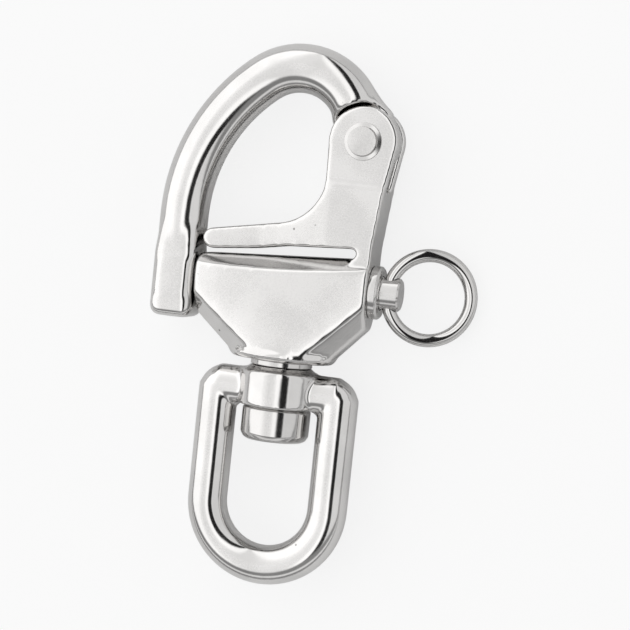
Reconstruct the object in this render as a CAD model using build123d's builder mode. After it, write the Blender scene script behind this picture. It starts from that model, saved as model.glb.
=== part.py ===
from build123d import *
import os
from math import cos, radians, sin, sqrt

# Swivel-eye snap shackle in cast and turned stainless steel, lying on its back.
# X runs across it, Y along it from the swivel eye to the crown of the jaw, and Z up.
# The origin is the centre of the swivel eye's round end. All sizes are in millimetres.

# Running and seating clearances
pin_clearance = 0.05         # radial, between a pin and its hole
seat_clearance = 0.05        # between two faces that bear on each other and turn
fit_clearance = 0.01         # radial, between a piece and the hole it is fixed in
cast_gap = 0.3               # between cast faces that pass each other
cut_margin = 1.0             # how far a cut runs on past the face it opens

# Swivel eye
eye_bar_radius = 4.7
eye_leg_offset = 14.8        # from the swivel axis to a leg's centre line
eye_head_y = 27.05           # centre line of the cross bar
eye_corner_radius = 6.5      # outside corner between leg and cross bar
boss_radius = 9.4
boss_bottom_y = 23.2
boss_top_y = 31.9
boss_round = 0.9
seat_base_radius = 9.0
seat_top_radius = 8.1
seat_height = 1.0

# Swivel stud and washer
stud_radius = 4.0
stud_head_radius = 8.1
stud_head_height = 8.0
stud_head_chamfer = 1.7
stud_engagement = 9.0        # length of the stud inside the body
washer_radius = 7.3
washer_height = 1.3

# Body casting
body_left_x = -21.7
body_right_x = 20.1
body_half_thickness = 8.3
body_top_y = 57.7            # top of the barrel, at its left end
body_top_slope = 3.6         # degrees, the barrel's top rising to the right
barrel_foot_y = 51.0         # where the skirt's skin is as flat as the barrel's
body_shoulder_y = 43.8       # where the sloping flanks reach full width
flank_foot_half_width = 13.0
flank_foot_y = 36.2
skirt_half_width = 16.0      # of the skirt's oval section, just over the lip
skirt_half_thickness = 8.8
barrel_oval_half_width = 42.0   # of the much wider oval that the barrel's face is part of
facet_width = 5.0            # of the facets along the flanks, in from the flank
facet_edge = 2.8             # half thickness left at the flank
lip_half_width = 13.0
lip_half_thickness = 10.0
lip_height = 2.6
lip_round = 1.1
bevel_depth = 3.6            # long bevels along the top of the barrel, down the front face
bevel_width = 4.2            # the same bevels, in along the top face

# Column, fork ears and hinge
hinge_x = 15.1
hinge_y = 87.4
ear_radius = 8.35
ear_half_thickness = 5.0
column_foot_half_thickness = 5.8
column_half_thickness = 6.5    # at the step below the ears
column_rise_length = 5.0       # below the step, where the column starts to thicken
column_right_foot_x = 20.1
column_left_x = 7.1
column_step_depth = 11.9     # below the hinge, where the thick column meets the thinner ears
column_step_length = 2.4
column_step_right = 6.3      # the column's right side there, from the hinge
bay_corner_radius = 12.5     # inside corner between the column and the arm
bay_corner_width = 9.7
bay_corner_height = 5.5
bay_corner_top = 14.8
fork_gap = 4.9               # clear width between the ears
fork_depth = 11.0            # of the gap between the ears, below the hinge
pin_radius = 3.2
pin_head_radius = 4.45
pin_face_radius = 3.3
pin_head_height = 1.35

# Finger arm, over the slot
arm_tip_x = -21.5
arm_half_thickness = 4.3
arm_root_x = 9.0             # where the arm is as thick as the column
arm_blade_x = -8.0           # where it has thinned to the arm's own thickness
slot_end_x = 16.4
slot_end_y = 61.2
slot_end_radius = 1.15
arm_bottom_y = 58.85         # underside of the arm near its tip
arm_tip_radius = 2.45
arm_bend_x = -1.0            # where the arm's underside turns down
arm_bend_rise = 0.1
arm_waist_x = -9.0           # and where it turns less steep again
arm_waist_drop = 1.3

# Jaw
jaw_bar_radius = 5.8
jaw_leg_inset = 5.4          # from the knuckle's inner face to the bar's centre line
jaw_bend_depth = 21.4        # below the hinge, where the straight stretch ends
jaw_bend_radius = 43.0
crown_start_angle = 127.5    # of the large bend, seen from its centre
crown_end_angle = 28.0       # of the crown arc, seen from its centre
crown_radius = 14.95
knuckle_bottom_y = 41.6
knuckle_top_y = 57.0
knuckle_blend_length = 9.0   # over which the knuckle's square section sinks into the round bar
knuckle_blend_inset = 0.9
knuckle_blend_round = 3.3
knuckle_half_thickness = 6.1
knuckle_half_width = 5.3
knuckle_round = 2.6
pad_half_width = 3.6         # raised pad on the knuckle's front and back
pad_bottom_y = 46.7
pad_top_y = 55.4
pad_height = 0.3
pad_corner_radius = 0.9
outer_fan_angle = 62         # on the crown arc, where the jaw's outer edge leaves it
inner_fan_angle = 38         # where its inner edge leaves it
fan_radius = 5.0
tongue_radius = 8.0
shoulder_clearance = 0.55    # between the jaw's shoulders and the round of the ears

# Plunger, spring, gland bush and pull ring
plunger_y = 52.7
tip_radius = 2.75
tip_insertion = 3.2          # length of the tip inside the jaw at rest
tip_chamfer = 0.7
tip_hole_spare = 0.8         # depth of the knuckle's hole past the tip
shoulder_radius = 4.1
shoulder_length = 2.0
chamber_left_x = -15.5
chamber_radius = 4.3
rod_radius = 2.2
bush_thread_radius = 5.2
bush_inner_x = 13.0
flange_radius = 6.25
flange_thickness = 2.2
flange_chamfer = 0.5
knob_radius = 3.85
knob_length = 6.0
knob_end_x = 26.9
knob_chamfer = 0.4
knob_seat = 0.35             # of the recess, left of the knob's foot
knob_recess = 1.4            # depth of the bush's recess that takes the knob's foot
ring_hole_x = 24.1
ring_hole_clearance = 0.18
ring_radius = 10.0
ring_wire_radius = 1.55
ring_droop = 23.0            # degrees below the shackle's own plane, down to the ground
spring_wire_radius = 0.4
spring_radius = 3.3
spring_pitch = 2.4

# Places that follow from the sizes above
seat_top_y = boss_top_y + seat_height
washer_bottom_y = seat_top_y + seat_clearance
washer_top_y = washer_bottom_y + washer_height
lip_bottom_y = washer_top_y + seat_clearance
lip_top_y = lip_bottom_y + lip_height
head_top_y = boss_bottom_y - seat_clearance
stud_top_y = lip_bottom_y + stud_engagement
body_width = body_right_x - body_left_x
body_centre_x = (body_right_x + body_left_x) / 2
column_step_y = hinge_y - column_step_depth
fork_bottom_y = hinge_y - fork_depth
ear_top_y = hinge_y + ear_radius
knuckle_face_x = body_left_x - 2 * cast_gap
knuckle_centre_x = knuckle_face_x - knuckle_half_width
jaw_leg_x = knuckle_face_x - jaw_leg_inset
jaw_bend_y = hinge_y - jaw_bend_depth
outer_fan_end = (hinge_x + 2.3, hinge_y + 3.4)
inner_fan_end = (hinge_x - 3.2, hinge_y + 1.6)
bend_centre = (jaw_leg_x + jaw_bend_radius, jaw_bend_y)
crown_centre = (
    bend_centre[0] + (jaw_bend_radius - crown_radius) * cos(radians(crown_start_angle)),
    bend_centre[1] + (jaw_bend_radius - crown_radius) * sin(radians(crown_start_angle)),
)
pin_face_z = ear_half_thickness + pin_head_height
tip_end_x = knuckle_face_x - tip_insertion
shoulder_left_x = chamber_left_x + seat_clearance
spring_left_x = shoulder_left_x + shoulder_length
knob_foot_x = knob_end_x - knob_length
ring_sagitta = ring_radius - sqrt(ring_radius**2 - knob_radius**2)
ring_hole_radius = ring_wire_radius + ring_sagitta / 2 + ring_hole_clearance
ring_centre_distance = ring_radius - ring_sagitta / 2

os.makedirs("parts", exist_ok=True)


def across(y):
    """The plane across the shackle at height y, with its own X along X and its normal along +Y."""
    return Plane(origin=(0, y, 0), x_dir=(1, 0, 0), z_dir=(0, 1, 0))


def along(x):
    """The plane on the plunger's axis at x, with its normal along +X."""
    return Plane(origin=(x, plunger_y, 0), x_dir=(0, 1, 0), z_dir=(1, 0, 0))


def crown_point(angle):
    """The point of the jaw's centre line at an angle round the crown arc."""
    turn = radians(angle)
    return (crown_centre[0] + crown_radius * cos(turn), crown_centre[1] + crown_radius * sin(turn))


# Swivel eye: a round bar bent to a D, with the boss that turns on the stud
with BuildPart() as swivel_eye:
    with BuildLine() as eye_path:
        Line((-eye_leg_offset, eye_head_y), (-eye_leg_offset, 0))
        RadiusArc((-eye_leg_offset, 0), (eye_leg_offset, 0), -eye_leg_offset)
        Line((eye_leg_offset, 0), (eye_leg_offset, eye_head_y))
    with BuildSketch(across(eye_head_y)):
        with Locations((-eye_leg_offset, 0)):
            Circle(eye_bar_radius)
    sweep(path=eye_path.wire())
    with BuildSketch(Plane(origin=(-eye_leg_offset, eye_head_y, 0), x_dir=(0, 1, 0), z_dir=(1, 0, 0))):
        Circle(eye_bar_radius)
    extrude(amount=2 * eye_leg_offset)
    corner_offset = eye_corner_radius - eye_bar_radius
    for side in (-1, 1):
        corner_x = side * (eye_leg_offset - corner_offset)
        corner_y = eye_head_y - corner_offset
        with BuildSketch(Plane(origin=(corner_x, corner_y, 0), x_dir=(side, 0, 0), z_dir=(0, -side, 0))):
            with Locations((corner_offset, 0)):
                Circle(eye_bar_radius)
            with Locations((-eye_bar_radius, 0)):
                Rectangle(2 * eye_bar_radius, 4 * eye_bar_radius, mode=Mode.SUBTRACT)
        revolve(axis=Axis((corner_x, corner_y, 0), (0, 0, side)), revolution_arc=90)
    with BuildSketch(across(boss_bottom_y)):
        Circle(boss_radius)
    extrude(amount=boss_top_y - boss_bottom_y)
    fillet(swivel_eye.edges().filter_by(GeomType.CIRCLE).group_by(Axis.Y)[-1], boss_round)
    with BuildSketch(across(boss_top_y)):
        Circle(seat_base_radius - boss_round)
    with BuildSketch(across(seat_top_y)):
        Circle(seat_top_radius - boss_round)
    loft()
    with BuildSketch(across(boss_bottom_y)):
        Circle(stud_radius + pin_clearance)
    extrude(amount=seat_top_y - boss_bottom_y, mode=Mode.SUBTRACT)
    with BuildSketch(across(boss_bottom_y)):
        Circle(boss_radius)
    extrude(amount=-eye_bar_radius, mode=Mode.SUBTRACT)

# Swivel stud: shank fixed in the body, with the thick head that carries the eye
with BuildPart() as swivel_stud:
    with BuildSketch(across(head_top_y - stud_head_height)):
        Circle(stud_head_radius)
    extrude(amount=stud_head_height)
    chamfer(swivel_stud.edges().group_by(Axis.Y)[0], stud_head_chamfer)
    fillet(swivel_stud.edges().group_by(Axis.Y)[-1], stud_head_chamfer / 3)
    with BuildSketch(across(head_top_y)):
        Circle(stud_radius)
    extrude(amount=stud_top_y - head_top_y)

# Washer between the eye's seat and the body
with BuildPart() as swivel_washer:
    with BuildSketch(across(washer_bottom_y)):
        Circle(washer_radius)
        Circle(stud_radius + pin_clearance, mode=Mode.SUBTRACT)
    extrude(amount=washer_height)
    washer_rims = swivel_washer.edges().filter_by(GeomType.CIRCLE).sort_by(SortBy.RADIUS)[-2:]
    fillet(washer_rims, washer_height / 6)

# Column with the fork ears, and the finger arm that reaches out over the slot
with BuildPart() as column:
    with BuildSketch(Plane.XY):
        with BuildLine():
            right_side = Polyline(
                (column_right_foot_x, barrel_foot_y),
                (column_right_foot_x, slot_end_y + slot_end_radius),
                (hinge_x + column_step_right, column_step_y),
                (hinge_x + ear_radius, hinge_y),
            )
            over_hinge = RadiusArc(right_side @ 1, (hinge_x - ear_radius, hinge_y), -ear_radius)
            left_side = Line(over_hinge @ 1, (column_left_x, slot_end_y + bay_corner_top))
            bay_corner_end = (column_left_x - bay_corner_width, slot_end_y + bay_corner_height)
            bay_corner = RadiusArc(left_side @ 1, bay_corner_end, bay_corner_radius)
            arm_top = Line(bay_corner @ 1, (arm_tip_x + arm_tip_radius, arm_bottom_y + 2 * arm_tip_radius))
            arm_tip = RadiusArc(arm_top @ 1, (arm_tip_x + arm_tip_radius, arm_bottom_y), -arm_tip_radius)
            arm_under = Polyline(
                arm_tip @ 1,
                (arm_waist_x, slot_end_y - arm_waist_drop),
                (arm_bend_x, slot_end_y + arm_bend_rise),
                (slot_end_x - slot_end_radius, slot_end_y + slot_end_radius),
            )
            slot_end = RadiusArc(
                arm_under @ 1,
                (slot_end_x - slot_end_radius, slot_end_y - slot_end_radius),
                slot_end_radius,
            )
            Polyline(slot_end @ 1, (slot_end_x - slot_end_radius, barrel_foot_y), right_side @ 0)
        make_face()
    extrude(amount=column_foot_half_thickness, both=True)
    with BuildSketch(Plane.YZ.offset(arm_tip_x - cut_margin)):
        with BuildLine():
            half_front = [
                (barrel_foot_y - cut_margin, column_foot_half_thickness),
                (slot_end_y, column_foot_half_thickness),
                (column_step_y - column_rise_length, column_foot_half_thickness),
                (column_step_y, column_half_thickness),
                (column_step_y + column_step_length, ear_half_thickness),
                (ear_top_y + cut_margin, ear_half_thickness),
            ]
            Polyline(*half_front, *[(y, -z) for y, z in reversed(half_front)], close=True)
        make_face()
    extrude(amount=hinge_x + ear_radius - arm_tip_x + 2 * cut_margin, mode=Mode.INTERSECT)
    with BuildSketch(Plane.XZ.offset(-(ear_top_y + cut_margin))):
        with BuildLine():
            half_side = [
                (arm_tip_x - cut_margin, arm_half_thickness),
                (arm_blade_x, arm_half_thickness),
                (arm_root_x, column_foot_half_thickness),
                (hinge_x + ear_radius + cut_margin, column_foot_half_thickness),
            ]
            Polyline(*half_side, *[(x, -z) for x, z in reversed(half_side)], close=True)
        make_face()
    extrude(amount=ear_top_y + 2 * cut_margin - barrel_foot_y, mode=Mode.INTERSECT)

# Body: barrel for the plunger, skirt down to the swivel and its lip, and the column
with BuildPart() as body:
    with BuildSketch(across(lip_bottom_y + lip_round)):
        Ellipse(skirt_half_width, skirt_half_thickness)
    with BuildSketch(across(barrel_foot_y)):
        Ellipse(barrel_oval_half_width, body_half_thickness)
    loft()
    with BuildSketch(across(barrel_foot_y)):
        Ellipse(barrel_oval_half_width, body_half_thickness)
    extrude(amount=body_top_y + body_width * sin(radians(body_top_slope)) - barrel_foot_y)
    with BuildSketch(Plane.XY):
        with BuildLine():
            Polyline(
                (-flank_foot_half_width, flank_foot_y),
                (body_left_x, body_shoulder_y),
                (body_left_x, body_top_y + body_width),
                (body_right_x, body_top_y + body_width),
                (body_right_x, body_shoulder_y),
                (flank_foot_half_width, flank_foot_y),
                close=True,
            )
        make_face()
    extrude(amount=2 * body_half_thickness, both=True, mode=Mode.INTERSECT)
    top_direction = (cos(radians(body_top_slope)), sin(radians(body_top_slope)), 0)
    top_normal = (-sin(radians(body_top_slope)), cos(radians(body_top_slope)), 0)
    with BuildSketch(Plane(origin=(body_left_x, body_top_y, 0), x_dir=top_normal, z_dir=top_direction)):
        flat_half_width = body_half_thickness - bevel_width
        with BuildLine():
            Polyline(
                (body_half_thickness, -flat_half_width - 2 * bevel_width),
                (-2 * bevel_depth, -flat_half_width - 2 * bevel_width),
                (0, -flat_half_width),
                (0, flat_half_width),
                (-2 * bevel_depth, flat_half_width + 2 * bevel_width),
                (body_half_thickness, flat_half_width + 2 * bevel_width),
                close=True,
            )
        make_face()
    extrude(amount=body_width + 4 * cut_margin, mode=Mode.SUBTRACT)
    for foot_x, shoulder_x in ((-flank_foot_half_width, body_left_x), (flank_foot_half_width, body_right_x)):
        flank = Vector(shoulder_x - foot_x, body_shoulder_y - flank_foot_y, 0).normalized()
        outward = Vector(flank.Y, -flank.X, 0) if foot_x > 0 else Vector(-flank.Y, flank.X, 0)
        with BuildSketch(Plane(origin=(foot_x, flank_foot_y, 0), x_dir=outward, z_dir=flank)):
            facet_rise = body_half_thickness - facet_edge
            for side in (-1, 1):
                with BuildLine():
                    Polyline(
                        (facet_width, side * (facet_edge - facet_rise)),
                        (-2 * facet_width, side * (facet_edge + 2 * facet_rise)),
                        (facet_width, side * (facet_edge + 2 * facet_rise)),
                        close=True,
                    )
                make_face()
        extrude(amount=body_width, both=True, mode=Mode.SUBTRACT)
    for edge_y, rim_y in ((lip_bottom_y, lip_bottom_y + lip_round), (lip_top_y, lip_top_y - lip_round)):
        with BuildSketch(across(edge_y)):
            Ellipse(lip_half_width - lip_round, lip_half_thickness - lip_round)
        with BuildSketch(across(rim_y)):
            Ellipse(lip_half_width, lip_half_thickness)
        loft()
    with BuildSketch(across(lip_bottom_y + lip_round)):
        Ellipse(lip_half_width, lip_half_thickness)
    extrude(amount=lip_height - 2 * lip_round)

    add(column.part)

    with BuildSketch(Plane.XY):
        with Locations((hinge_x, (fork_bottom_y + ear_top_y + cut_margin) / 2)):
            Rectangle(4 * ear_radius, ear_top_y + cut_margin - fork_bottom_y)
    extrude(amount=fork_gap / 2, both=True, mode=Mode.SUBTRACT)
    with BuildSketch(Plane.XY):
        with Locations((hinge_x, hinge_y)):
            Circle(pin_radius + fit_clearance)
    extrude(amount=column_half_thickness + cut_margin, both=True, mode=Mode.SUBTRACT)

    with BuildSketch(along(body_left_x - cut_margin)):
        Circle(tip_radius + pin_clearance)
    extrude(amount=chamber_left_x - body_left_x + 2 * cut_margin, mode=Mode.SUBTRACT)
    with BuildSketch(along(chamber_left_x)):
        Circle(chamber_radius)
    extrude(amount=bush_inner_x - chamber_left_x, mode=Mode.SUBTRACT)
    with BuildSketch(along(bush_inner_x)):
        Circle(bush_thread_radius + fit_clearance)
    extrude(amount=body_right_x - bush_inner_x + cut_margin, mode=Mode.SUBTRACT)
    with BuildSketch(across(lip_bottom_y)):
        Circle(stud_radius + fit_clearance)
    extrude(amount=stud_engagement + seat_clearance, mode=Mode.SUBTRACT)

# Jaw: a round bar from the flat tongue at the hinge, over the crown, down to the locking knuckle
with BuildPart() as jaw:
    bend_top = (
        bend_centre[0] + jaw_bend_radius * cos(radians(crown_start_angle)),
        bend_centre[1] + jaw_bend_radius * sin(radians(crown_start_angle)),
    )
    with BuildLine() as jaw_path:
        Line((jaw_leg_x, pad_bottom_y), (jaw_leg_x, jaw_bend_y))
        RadiusArc((jaw_leg_x, jaw_bend_y), bend_top, jaw_bend_radius)
        RadiusArc(bend_top, crown_point(crown_end_angle), crown_radius)
    with BuildSketch(across(pad_bottom_y)):
        with Locations((jaw_leg_x, 0)):
            Circle(jaw_bar_radius)
    sweep(path=jaw_path.wire())

    with BuildSketch(across(knuckle_bottom_y)):
        with Locations((knuckle_centre_x, 0)):
            RectangleRounded(2 * knuckle_half_width, 2 * knuckle_half_thickness, knuckle_round)
    extrude(amount=knuckle_top_y - knuckle_bottom_y)
    fillet(jaw.faces().sort_by(Axis.Y)[0].edges(), knuckle_round * 0.9)
    with BuildSketch(across(knuckle_top_y)):
        with Locations((knuckle_centre_x, 0)):
            RectangleRounded(2 * knuckle_half_width, 2 * knuckle_half_thickness, knuckle_round)
    with BuildSketch(across(knuckle_top_y + knuckle_blend_length)):
        with Locations((jaw_leg_x, 0)):
            blend_width = 2 * (jaw_bar_radius - knuckle_blend_inset)
            RectangleRounded(blend_width, blend_width, knuckle_blend_round)
    loft()
    with BuildSketch(Plane.XY):
        with Locations((knuckle_centre_x, (pad_bottom_y + pad_top_y) / 2)):
            RectangleRounded(2 * pad_half_width, pad_top_y - pad_bottom_y, pad_corner_radius)
    extrude(amount=knuckle_half_thickness + pad_height, both=True)

    for start_angle, fan_end in ((outer_fan_angle, outer_fan_end), (inner_fan_angle, inner_fan_end)):
        fan_start = crown_point(start_angle)
        fan_direction = (fan_end[0] - fan_start[0], fan_end[1] - fan_start[1], 0)
        with BuildSketch(Plane(origin=(fan_start[0], fan_start[1], 0), z_dir=fan_direction)):
            Circle(fan_radius)
        extrude(amount=Vector(*fan_direction).length)
    with BuildSketch(Plane.XY):
        with Locations((knuckle_face_x + knuckle_half_width, (knuckle_bottom_y + arm_bottom_y) / 2)):
            Rectangle(2 * knuckle_half_width, arm_bottom_y - knuckle_bottom_y)
    extrude(amount=2 * knuckle_half_thickness, both=True, mode=Mode.SUBTRACT)
    with BuildSketch(Plane.XY):
        with Locations((hinge_x, hinge_y)):
            Circle(ear_radius + shoulder_clearance)
    extrude(amount=jaw_bar_radius + cut_margin, both=True, mode=Mode.SUBTRACT)
    with BuildSketch(Plane.XY):
        with Locations((hinge_x, hinge_y)):
            Circle(tongue_radius)
        with BuildLine():
            Polyline(
                (hinge_x, hinge_y),
                (hinge_x + 6.1, hinge_y + 5.6),
                (hinge_x + 0.4, hinge_y + 12.1),
                (hinge_x - 7.1, hinge_y + 12.1),
                (hinge_x - 8.2, hinge_y + 3.6),
                close=True,
            )
        make_face()
    extrude(amount=fork_gap / 2 - cast_gap / 2, both=True)
    with BuildSketch(Plane.XY):
        with Locations((hinge_x, hinge_y)):
            Circle(pin_radius + pin_clearance)
    extrude(amount=jaw_bar_radius, both=True, mode=Mode.SUBTRACT)
    with BuildSketch(along(tip_end_x - tip_hole_spare)):
        Circle(tip_radius + cast_gap)
    extrude(amount=tip_insertion + tip_hole_spare + cut_margin, mode=Mode.SUBTRACT)

# Hinge pin: riveted through both ears, with a coned head at each end
with BuildPart() as hinge_pin:
    with BuildSketch(Plane.XY):
        with Locations((hinge_x, hinge_y)):
            Circle(pin_radius)
    extrude(amount=ear_half_thickness + fit_clearance, both=True)
    for side in (-1, 1):
        with BuildSketch(Plane.XY.offset(side * (ear_half_thickness + fit_clearance))):
            with Locations((hinge_x, hinge_y)):
                Circle(pin_head_radius)
        with BuildSketch(Plane.XY.offset(side * pin_face_z)):
            with Locations((hinge_x, hinge_y)):
                Circle(pin_face_radius)
        loft()

# Plunger: locking tip, spring shoulder, rod and the knob that the ring pulls
with BuildPart() as plunger:
    with BuildSketch(along(tip_end_x)):
        Circle(tip_radius)
    extrude(amount=shoulder_left_x - tip_end_x)
    chamfer(plunger.edges().group_by(Axis.X)[0], tip_chamfer)
    with BuildSketch(along(shoulder_left_x)):
        Circle(shoulder_radius)
    extrude(amount=shoulder_length)
    with BuildSketch(along(spring_left_x)):
        Circle(rod_radius)
    extrude(amount=knob_foot_x - spring_left_x)
    with BuildSketch(along(knob_foot_x)):
        Circle(knob_radius)
    extrude(amount=knob_length)
    chamfer(plunger.edges().group_by(Axis.X)[-1], knob_chamfer)
    with BuildSketch(across(plunger_y - knob_radius - cut_margin)):
        with Locations((ring_hole_x, 0)):
            Circle(ring_hole_radius)
    extrude(amount=2 * (knob_radius + cut_margin), mode=Mode.SUBTRACT)

# Gland bush: screwed into the bore's open end, it holds the spring in and guides the rod
with BuildPart() as gland_bush:
    with BuildSketch(along(bush_inner_x)):
        Circle(bush_thread_radius)
    extrude(amount=body_right_x + seat_clearance - bush_inner_x)
    with BuildSketch(along(body_right_x + seat_clearance)):
        Circle(flange_radius)
    extrude(amount=flange_thickness)
    chamfer(gland_bush.edges().group_by(Axis.X)[-1], flange_chamfer)
    with BuildSketch(along(bush_inner_x)):
        Circle(rod_radius + pin_clearance)
    extrude(amount=body_right_x + flange_thickness + cut_margin - bush_inner_x, mode=Mode.SUBTRACT)
    with BuildSketch(along(knob_foot_x - knob_seat)):
        Circle(knob_radius + 4 * pin_clearance)
    extrude(amount=flange_thickness + knob_recess, mode=Mode.SUBTRACT)

# Release spring: wound wire round the rod, from the plunger's shoulder to the bush
with BuildPart() as release_spring:
    spring_length = bush_inner_x - spring_left_x
    coil_length = spring_length - 2 * spring_wire_radius - 2 * seat_clearance
    coil_start_x = spring_left_x + spring_wire_radius + seat_clearance
    with BuildLine() as coil:
        coil_start = (coil_start_x, plunger_y, 0)
        Helix(spring_pitch, coil_length, spring_radius, center=coil_start, direction=(1, 0, 0))
    with BuildSketch(Plane(origin=coil.line @ 0, z_dir=coil.line % 0)):
        Circle(spring_wire_radius)
    sweep(path=coil.wire(), is_frenet=True)

# Pull ring: a closed wire ring through the knob's cross hole, hanging down to the ground
with BuildPart() as pull_ring:
    droop_direction = (cos(radians(ring_droop)), 0, -sin(radians(ring_droop)))
    ring_centre = (
        ring_hole_x + ring_centre_distance * droop_direction[0],
        plunger_y,
        ring_centre_distance * droop_direction[2],
    )
    ring_plane = Plane(origin=ring_centre, x_dir=droop_direction, z_dir=(0, -1, 0))
    with BuildSketch(ring_plane):
        with Locations((ring_radius, 0)):
            Circle(ring_wire_radius)
    ring_normal = (sin(radians(ring_droop)), 0, cos(radians(ring_droop)))
    revolve(axis=Axis(ring_centre, ring_normal), revolution_arc=360)

swivel_eye.part.label = "swivel_eye"
export_step(swivel_eye.part, "parts/swivel_eye.step")
swivel_stud.part.label = "swivel_stud"
export_step(swivel_stud.part, "parts/swivel_stud.step")
swivel_washer.part.label = "swivel_washer"
export_step(swivel_washer.part, "parts/swivel_washer.step")
body.part.label = "body"
export_step(body.part, "parts/body.step")
jaw.part.label = "jaw"
export_step(jaw.part, "parts/jaw.step")
hinge_pin.part.label = "hinge_pin"
export_step(hinge_pin.part, "parts/hinge_pin.step")
plunger.part.label = "plunger"
export_step(plunger.part, "parts/plunger.step")
gland_bush.part.label = "gland_bush"
export_step(gland_bush.part, "parts/gland_bush.step")
release_spring.part.label = "release_spring"
export_step(release_spring.part, "parts/release_spring.step")
pull_ring.part.label = "pull_ring"
export_step(pull_ring.part, "parts/pull_ring.step")
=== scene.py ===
# %% [markdown]
# A snap shackle is three investment castings and a handful of turned parts, all in
# polished stainless steel. This lesson puts the finish on them. The castings keep the
# exact outline of the engineering model, and get here what a foundry and a tumbling
# barrel give them: soft edges and a faintly uneven skin. Three of the turned parts are made
# new, with crisp edges, and the rest keep the model's own mesh. Polished metal has hardly any look of its own, so the light matters
# as much as the shapes do.

# %% Open the frame
from math import cos, pi, radians, sin

import bpy
from mathutils import Matrix, Vector


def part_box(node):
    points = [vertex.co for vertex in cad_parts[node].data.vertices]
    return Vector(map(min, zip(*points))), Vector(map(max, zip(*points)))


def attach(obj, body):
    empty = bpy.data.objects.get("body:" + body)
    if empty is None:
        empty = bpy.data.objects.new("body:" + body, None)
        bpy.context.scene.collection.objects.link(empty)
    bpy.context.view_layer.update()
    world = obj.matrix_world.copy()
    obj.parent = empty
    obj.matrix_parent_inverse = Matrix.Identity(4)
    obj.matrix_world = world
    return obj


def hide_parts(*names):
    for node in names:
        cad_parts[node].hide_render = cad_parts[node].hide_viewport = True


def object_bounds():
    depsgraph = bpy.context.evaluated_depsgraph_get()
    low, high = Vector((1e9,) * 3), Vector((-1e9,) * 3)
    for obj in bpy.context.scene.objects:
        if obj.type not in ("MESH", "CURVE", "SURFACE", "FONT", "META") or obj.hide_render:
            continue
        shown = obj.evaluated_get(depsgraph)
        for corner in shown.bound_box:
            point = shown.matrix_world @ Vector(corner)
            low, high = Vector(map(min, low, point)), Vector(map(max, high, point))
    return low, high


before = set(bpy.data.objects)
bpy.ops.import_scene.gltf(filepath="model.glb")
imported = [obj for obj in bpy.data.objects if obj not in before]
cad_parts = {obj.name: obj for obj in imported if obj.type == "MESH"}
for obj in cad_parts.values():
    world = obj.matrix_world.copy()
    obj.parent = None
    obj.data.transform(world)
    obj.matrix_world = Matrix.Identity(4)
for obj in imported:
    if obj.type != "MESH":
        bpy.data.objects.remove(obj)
cad_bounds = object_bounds()
MM = 0.001
print("pieces in the frame:", ", ".join(sorted(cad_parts)))

# %% [markdown]
# Most lengths below are read from the frame: the boxes of the pieces.
# So when the model changes, this file follows it. An operator works on all
# that is selected, so a helper clears the selection first, and each new piece is made,
# shaped and left alone again.


# %% Helpers for working as by hand
def clear_selection():
    bpy.ops.object.select_all(action="DESELECT")


def choose(piece):
    """Makes one object the selected and active one."""
    clear_selection()
    piece.select_set(True)
    bpy.context.view_layer.objects.active = piece


def settle(piece, name, angle=35):
    """Names a finished piece, puts its place into its mesh and shades it smooth."""
    choose(piece)
    bpy.ops.object.transform_apply(location=True, rotation=True, scale=True)
    bpy.ops.object.shade_smooth_by_angle(angle=radians(angle))
    piece.name = name
    piece.data.name = name
    print(name, "has", len(piece.data.polygons), "faces")
    return piece


def apply_modifier(piece, kind, **settings):
    """Adds a modifier, sets it and applies it at once."""
    choose(piece)
    modifier = piece.modifiers.new(kind.title(), kind)
    for setting, value in settings.items():
        setattr(modifier, setting, value)
    bpy.ops.object.modifier_apply(modifier=modifier.name)


# %% [markdown]
# A casting's edges are never sharp: wax, shell and polishing all round them. Modelling
# each round by hand would take long and would show where the rounds meet. Instead the
# exact shape is wrapped in a fine even skin (a voxel remesh) and that skin is relaxed a
# little, which rounds every edge and fills every corner by the same small radius, just as
# the process does. The skin must be fine, or the mirror finish would show its steps.


# %% Casting from an exact shape
def casting(node, name, voxel, relax, strength=0.5):
    """A copy of a CAD node with the soft edges of an investment casting."""
    clear_selection()
    piece = bpy.data.objects.new(name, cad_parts[node].data.copy())
    bpy.context.collection.objects.link(piece)
    choose(piece)
    piece.data.materials.clear()
    bpy.ops.object.mode_set(mode="EDIT")
    bpy.ops.mesh.select_all(action="SELECT")
    bpy.ops.mesh.remove_doubles(threshold=1e-6)
    bpy.ops.mesh.customdata_custom_splitnormals_clear()
    bpy.ops.object.mode_set(mode="OBJECT")
    apply_modifier(piece, "REMESH", mode="VOXEL", voxel_size=voxel)
    apply_modifier(piece, "SMOOTH", factor=strength, iterations=relax)
    return settle(piece, name, 80)


body = casting("body", "body_casting", 0.34 * MM, 30)
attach(body, "shackle_body")
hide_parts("body")

jaw = casting("jaw", "jaw_casting", 0.36 * MM, 34)
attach(jaw, "jaw")
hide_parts("jaw")

eye = casting("swivel_eye", "eye_casting", 0.34 * MM, 16)
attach(eye, "swivel_eye")
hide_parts("swivel_eye")


# %% [markdown]
# The turned parts come off a lathe, so each is a profile spun round its axis. By hand
# that is a disc, extruded step by step: every step is one extrusion of the end cap,
# scaled to the next radius. A small bevel on the sharp steps catches the light as a
# real broken edge does. Their places are read from the frame: the box gives the axis and
# the ends.


# %% Turning on the lathe
LATHE_SEGMENTS = 96


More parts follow.
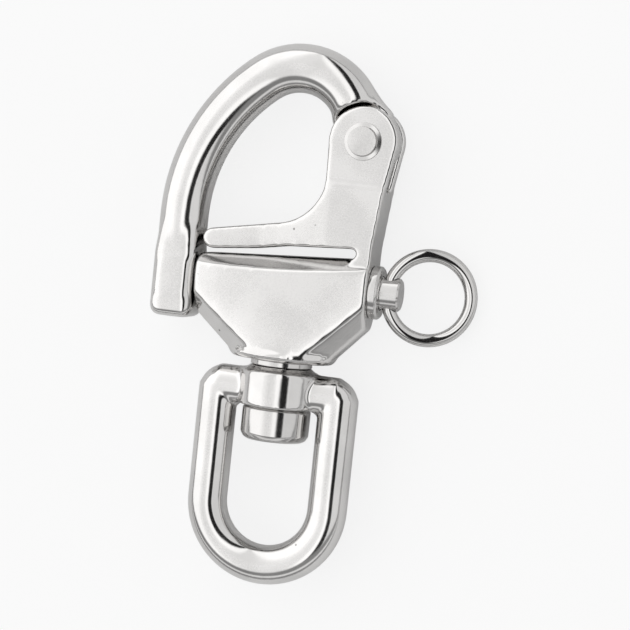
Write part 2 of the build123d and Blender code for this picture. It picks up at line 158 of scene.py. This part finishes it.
def turned(name, steps, axis, origin, bevel, angle=30):
    """A solid of revolution: steps are (distance along the axis, radius), from end to end."""
    clear_selection()
    bpy.ops.mesh.primitive_circle_add(vertices=LATHE_SEGMENTS, radius=steps[0][1], fill_type="NGON")
    piece = bpy.context.object
    bpy.ops.object.mode_set(mode="EDIT")
    bpy.ops.mesh.select_all(action="SELECT")
    bpy.ops.transform.translate(value=(0, 0, steps[0][0]))
    for (along, radius), (next_along, next_radius) in zip(steps, steps[1:]):
        bpy.ops.mesh.extrude_region_move(TRANSFORM_OT_translate={"value": (0, 0, next_along - along)})
        scale = next_radius / radius
        centre = (0, 0, next_along)
        bpy.ops.transform.resize(value=(scale, scale, 1), center_override=centre)
    bpy.ops.mesh.select_all(action="SELECT")
    bpy.ops.mesh.normals_make_consistent(inside=False)
    bpy.ops.object.mode_set(mode="OBJECT")
    turn = Vector((0, 0, 1)).rotation_difference(Vector(axis)).to_matrix().to_4x4()
    piece.matrix_world = Matrix.Translation(Vector(origin)) @ turn
    choose(piece)
    apply_modifier(piece, "BEVEL", width=bevel, segments=3, limit_method="ANGLE", angle_limit=radians(angle))
    return settle(piece, name, 35)


def middle(node):
    low, high = (Vector(corner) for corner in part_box(node))
    return low, high, (low + high) / 2


# %% [markdown]
# The hinge pin is a rivet. Its head is a low cone with a flat face, a little proud of the
# ear, with a soft rim where the rivet snap pressed it down.

# %% Hinge pin
pin_low, pin_high, pin_middle = middle("hinge_pin")
head_radius = (pin_high.x - pin_low.x) / 2
head_height = 1.35 * MM
face_radius = head_radius * 0.76
shank_radius = head_radius * 0.72
half_length = (pin_high.z - pin_low.z) / 2
under_head = half_length - head_height
pin = turned(
    "hinge_pin_rivet",
    [
        (-half_length, face_radius),
        (-half_length + head_height * 0.75, face_radius * 1.03),
        (-under_head - head_height * 0.12, head_radius),
        (-under_head, head_radius),
        (-under_head, shank_radius),
        (under_head, shank_radius),
        (under_head, head_radius),
        (under_head + head_height * 0.12, head_radius),
        (half_length - head_height * 0.75, face_radius * 1.03),
        (half_length, face_radius),
    ],
    (0, 0, 1),
    pin_middle,
    0.22 * MM,
)
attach(pin, "shackle_body")
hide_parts("hinge_pin")

# %% [markdown]
# The stud hangs in the eye by its head, a thick disc with a chamfer at the free end.

# %% Swivel stud
stud_low, stud_high, stud_middle = middle("swivel_stud")
stud_head = (stud_high.x - stud_low.x) / 2
head_height = 8.0 * MM
shank = stud_head * 4.0 / 8.1
stud = turned(
    "swivel_stud_headed",
    [
        (0, stud_head - 1.5 * MM),
        (0.5 * MM, stud_head - 0.6 * MM),
        (1.6 * MM, stud_head),
        (head_height - 0.6 * MM, stud_head),
        (head_height, stud_head - 0.6 * MM),
        (head_height, shank),
        (stud_high.y - stud_low.y, shank),
    ],
    (0, 1, 0),
    (stud_middle.x, stud_low.y, stud_middle.z),
    0.25 * MM,
    20,
)
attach(stud, "shackle_body")
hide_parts("swivel_stud")

# %% [markdown]
# The gland bush closes the plunger's bore. Only its flange is in sight, and the knob of
# the plunger stands in its recess.

# %% Gland bush
bush_low, bush_high, bush_middle = middle("gland_bush")
flange = (bush_high.y - bush_low.y) / 2
flange_foot = bush_high.x - 2.2 * MM
rod = 2.25 * MM
bush = turned(
    "gland_bush_turned",
    [
        (0, rod),
        (0, flange - 1.05 * MM),
        (flange_foot - bush_low.x, flange - 1.05 * MM),
        (flange_foot - bush_low.x, flange),
        (bush_high.x - bush_low.x - 0.5 * MM, flange),
        (bush_high.x - bush_low.x, flange - 0.5 * MM),
        (bush_high.x - bush_low.x, 4.05 * MM),
        (bush_high.x - bush_low.x - 1.7 * MM, 4.05 * MM),
        (bush_high.x - bush_low.x - 1.7 * MM, rod),
        (0.01 * MM, rod),
    ],
    (1, 0, 0),
    (bush_low.x, bush_middle.y, bush_middle.z),
    0.12 * MM,
)
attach(bush, "shackle_body")
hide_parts("gland_bush")

# %% [markdown]
# The pull ring is drawn wire, bent round and welded shut. A torus primitive of the right
# size is its outline, and here it is also the finished piece: the weld isn't modelled.

# %% Pull ring
ring_low, ring_high, ring_middle = middle("pull_ring")
WIRE = 1.55 * MM
RING_SEGMENTS = 160
ring_radius = (ring_high.y - ring_low.y) / 2 - WIRE
ring_across = ring_high.x - ring_low.x - 2 * WIRE
ring_down = ring_high.z - ring_low.z - 2 * WIRE
ring_tilt = -pi / 2 + Vector((ring_across, ring_down)).angle(Vector((0, 1)))
clear_selection()
bpy.ops.mesh.primitive_torus_add(
    major_segments=RING_SEGMENTS,
    minor_segments=40,
    major_radius=ring_radius,
    minor_radius=WIRE,
    location=ring_middle,
    rotation=(0, -ring_tilt, 0),
)
ring = bpy.context.object
ring = settle(ring, "pull_ring_wire", 60)
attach(ring, "pull_ring")
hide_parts("pull_ring")


# %% [markdown]
# Shader maths reads best as plain sums. This small class wraps a socket, so that
# `a * 0.5 + b` adds the Math nodes by itself, and one method makes every other node.


# %% Materials as expressions
class Socket:
    """A node's output that can be used in a sum."""

    def __init__(self, shader, output):
        self.shader = shader
        self.output = output

    def maths(self, operation, *values):
        return self.shader.node("ShaderNodeMath", {"operation": operation}, dict(enumerate(values)))

    def __add__(self, other):
        return self.maths("ADD", self, other)

    __radd__ = __add__

    def __sub__(self, other):
        return self.maths("SUBTRACT", self, other)

    def __rsub__(self, other):
        return self.maths("SUBTRACT", other, self)

    def __mul__(self, other):
        return self.maths("MULTIPLY", self, other)

    __rmul__ = __mul__

    def __truediv__(self, other):
        return self.maths("DIVIDE", self, other)

    def ramp(self, low, high):
        """0 below low, 1 above high, and smooth between."""
        return self.shader.node(
            "ShaderNodeMapRange",
            {"interpolation_type": "SMOOTHSTEP"},
            {"Value": self, "From Min": low, "From Max": high},
        )


class Shader:
    """A node tree, for a material or for the world."""

    def __init__(self, tree):
        self.tree = tree
        tree.nodes.clear()

    def node(self, kind, settings=None, sockets=None, output=0):
        made = self.tree.nodes.new(kind)
        for name, value in (settings or {}).items():
            setattr(made, name, value)
        for name, value in (sockets or {}).items():
            if isinstance(value, Socket):
                self.tree.links.new(value.output, made.inputs[name])
            else:
                made.inputs[name].default_value = value
        return Socket(self, made.outputs[output]) if made.outputs else made

    def mix_colour(self, factor, first, second):
        return self.node(
            "ShaderNodeMix",
            {"data_type": "RGBA"},
            {0: factor, 6: first, 7: second},
            output=2,
        )


def new_material(name):
    material = bpy.data.materials.new(name)
    material.use_nodes = True
    return material, Shader(material.node_tree)


def steel(name, colour, roughness, skin_height, skin_scale, satin=0.0, pits=0.0):
    """Polished stainless steel: a faint skin, a polish that varies, satin flats and a few pits, which are
    also darkened in colour as painted shade.
    """
    material, shader = new_material(name)
    place = shader.node("ShaderNodeTexCoord", output=3)
    facing = shader.node("ShaderNodeTexCoord", output=1)
    split = shader.tree.nodes.new("ShaderNodeSeparateXYZ")
    shader.tree.links.new(facing.output, split.inputs[0])
    upward = Socket(shader, split.outputs[2])
    flats = upward.maths("ABSOLUTE", upward).ramp(0.975, 0.998)
    broad = shader.node("ShaderNodeTexNoise", {}, {"Vector": place, "Scale": 90.0, "Detail": 3.0})
    skin = shader.node("ShaderNodeTexNoise", {}, {"Vector": place, "Scale": skin_scale, "Detail": 2.0})
    grain = shader.node("ShaderNodeTexNoise", {}, {"Vector": place, "Scale": 2600.0, "Detail": 3.0})
    cloud = broad.ramp(0.34, 0.66)
    shade = 0.90 + cloud * 0.10 + (grain - 0.5) * (0.05 + flats * satin * 1.4)
    tint = shader.mix_colour(shade, (0.02, 0.02, 0.02, 1), (*colour, 1))
    polish = roughness + cloud * 0.03 + flats * satin + (grain - 0.5) * 0.05
    height = (skin - 0.5) * skin_height + (grain - 0.5) * (0.0006 * MM + flats * 0.0035 * MM)
    if pits:
        spots = shader.node("ShaderNodeTexVoronoi", {}, {"Vector": place, "Scale": 210.0})
        rare = shader.node("ShaderNodeTexNoise", {}, {"Vector": place, "Scale": 75.0, "Detail": 0.0})
        pit_depth_and_shade = (1 - spots.ramp(0.02, 0.085)) * rare.ramp(0.60, 0.64)
        height = height - pit_depth_and_shade * pits
        # painted shade: the colour inside the pits is mixed towards near-black, as shade falling into them;
        # the pits themselves are real bumps
        tint = shader.mix_colour(pit_depth_and_shade * 0.85, tint, (0.05, 0.048, 0.045, 1))
    bump = shader.node("ShaderNodeBump", {}, {"Strength": 1.0, "Distance": 1.0, "Height": height})
    surface = shader.node(
        "ShaderNodeBsdfPrincipled",
        {},
        {"Base Color": tint, "Metallic": 1.0, "Roughness": polish, "Normal": bump},
    )
    shader.node("ShaderNodeOutputMaterial", {}, {"Surface": surface})
    return material


cast_steel = steel("polished_casting", (0.70, 0.69, 0.68), 0.10, 0.010 * MM, 420.0, 0.16, 0.05 * MM)
turned_steel = steel("turned_steel", (0.64, 0.63, 0.62), 0.11, 0.003 * MM, 900.0, 0.14)
wire_steel = steel("ring_wire", (0.66, 0.65, 0.64), 0.08, 0.002 * MM, 900.0)


def dress(piece, material):
    piece.data.materials.clear()
    piece.data.materials.append(material)


for piece in (body, jaw, eye):
    dress(piece, cast_steel)
for piece in (pin, stud, bush):
    dress(piece, turned_steel)
for node in ("swivel_washer", "plunger", "release_spring"):
    dress(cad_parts[node], turned_steel)
dress(ring, wire_steel)

# %% [markdown]
# The stage is a plain pale floor. The camera sees it as white; the metal sees the floor
# as it is lit, a light grey, and that is what gives bright round bars their grey rims.

# %% Floor
floor_z = cad_bounds[0][2]
clear_selection()
bpy.ops.mesh.primitive_plane_add(size=3.0, location=(0, 0, floor_z))
floor = bpy.context.object
floor.name = "floor"
floor_paint, shader = new_material("floor_paint")
lit = shader.node("ShaderNodeBsdfDiffuse", {}, {"Color": (0.80, 0.80, 0.80, 1)})
white = shader.node("ShaderNodeEmission", {}, {"Color": (1, 1, 1, 1), "Strength": 1.0})
camera_ray = shader.node("ShaderNodeLightPath")
seen = shader.node("ShaderNodeMixShader", {}, {0: camera_ray * 0.82, 1: lit, 2: white})
shader.node("ShaderNodeOutputMaterial", {}, {"Surface": seen})
dress(floor, floor_paint)

# %% [markdown]
# The light is one big soft tent: bright overhead and to the left, with a dark gap to the
# right of it and a second bright panel beyond. Round bars turn the gap into the narrow
# dark line that runs along them, which is what makes steel read as polished.

# %% World
world = bpy.data.worlds.new("soft_tent")
bpy.context.scene.world = world
world.use_nodes = True
shader = Shader(world.node_tree)
direction = shader.node("ShaderNodeTexCoord", output=0)
split = world.node_tree.nodes.new("ShaderNodeSeparateXYZ")
world.node_tree.links.new(direction.output, split.inputs[0])
x, y, z = (Socket(shader, output) for output in split.outputs)
right_lean = x.maths("ARCTAN2", x, z) * (180 / pi)
top_lean = y.maths("ARCTAN2", y, z) * (180 / pi)
TENT = 1.5
OVERHEAD = 1.08
PANEL = 0.92
GAP = 0.02
SURROUND = 0.46
FOOT = 0.30
STRIPE = 0.95
overhead = right_lean.ramp(-36, -16) * (1 - right_lean.ramp(-4, 6))
gap = right_lean.ramp(14, 22) * (1 - right_lean.ramp(38, 44))
panel = right_lean.ramp(40, 46)
light = (1 - gap) * (TENT - overhead * (TENT - OVERHEAD)) + gap * GAP - panel * (TENT - PANEL)
foot = 1 - top_lean.ramp(-46, -34)
stripe = top_lean.ramp(-78, -72) * (1 - top_lean.ramp(-66, -60))
below = FOOT + stripe * (STRIPE - FOOT)
light = light * (1 - foot) + foot * below
low = 1 - z.ramp(0.02, 0.14)
light = light * (1 - low) + low * SURROUND
background = shader.node("ShaderNodeBackground", {}, {"Color": (1, 1, 1, 1), "Strength": light})
shader.node("ShaderNodeOutputWorld", {}, {"Surface": background})

# %% [markdown]
# The camera stands almost straight over the shackle, a little to the ring's side and a
# little past the crown, and is turned so that the shackle leans to the right.

# %% Camera
AZIMUTH = radians(14)
ELEVATION = radians(3.5)
ROLL = radians(6.05)
DISTANCE = 0.5
LENS = 121.2
aim = Vector((6.85 * MM, 45.8 * MM, 0))
towards = Vector((sin(AZIMUTH) * cos(ELEVATION), sin(ELEVATION), cos(AZIMUTH) * cos(ELEVATION)))
level_right = Vector((cos(AZIMUTH), 0, -sin(AZIMUTH)))
level_up = towards.cross(level_right)
right = level_right * cos(ROLL) + level_up * sin(ROLL)
up = level_up * cos(ROLL) - level_right * sin(ROLL)
clear_selection()
bpy.ops.object.camera_add()
camera = bpy.context.object
camera.matrix_world = Matrix.Translation(aim + towards * DISTANCE) @ Matrix(
    ((right.x, up.x, towards.x), (right.y, up.y, towards.y), (right.z, up.z, towards.z))
).to_4x4()
camera.data.lens = LENS
camera.data.sensor_width = 36
camera.data.clip_start = 0.01
bpy.context.scene.camera = camera
bpy.context.scene.view_settings.view_transform = "Standard"
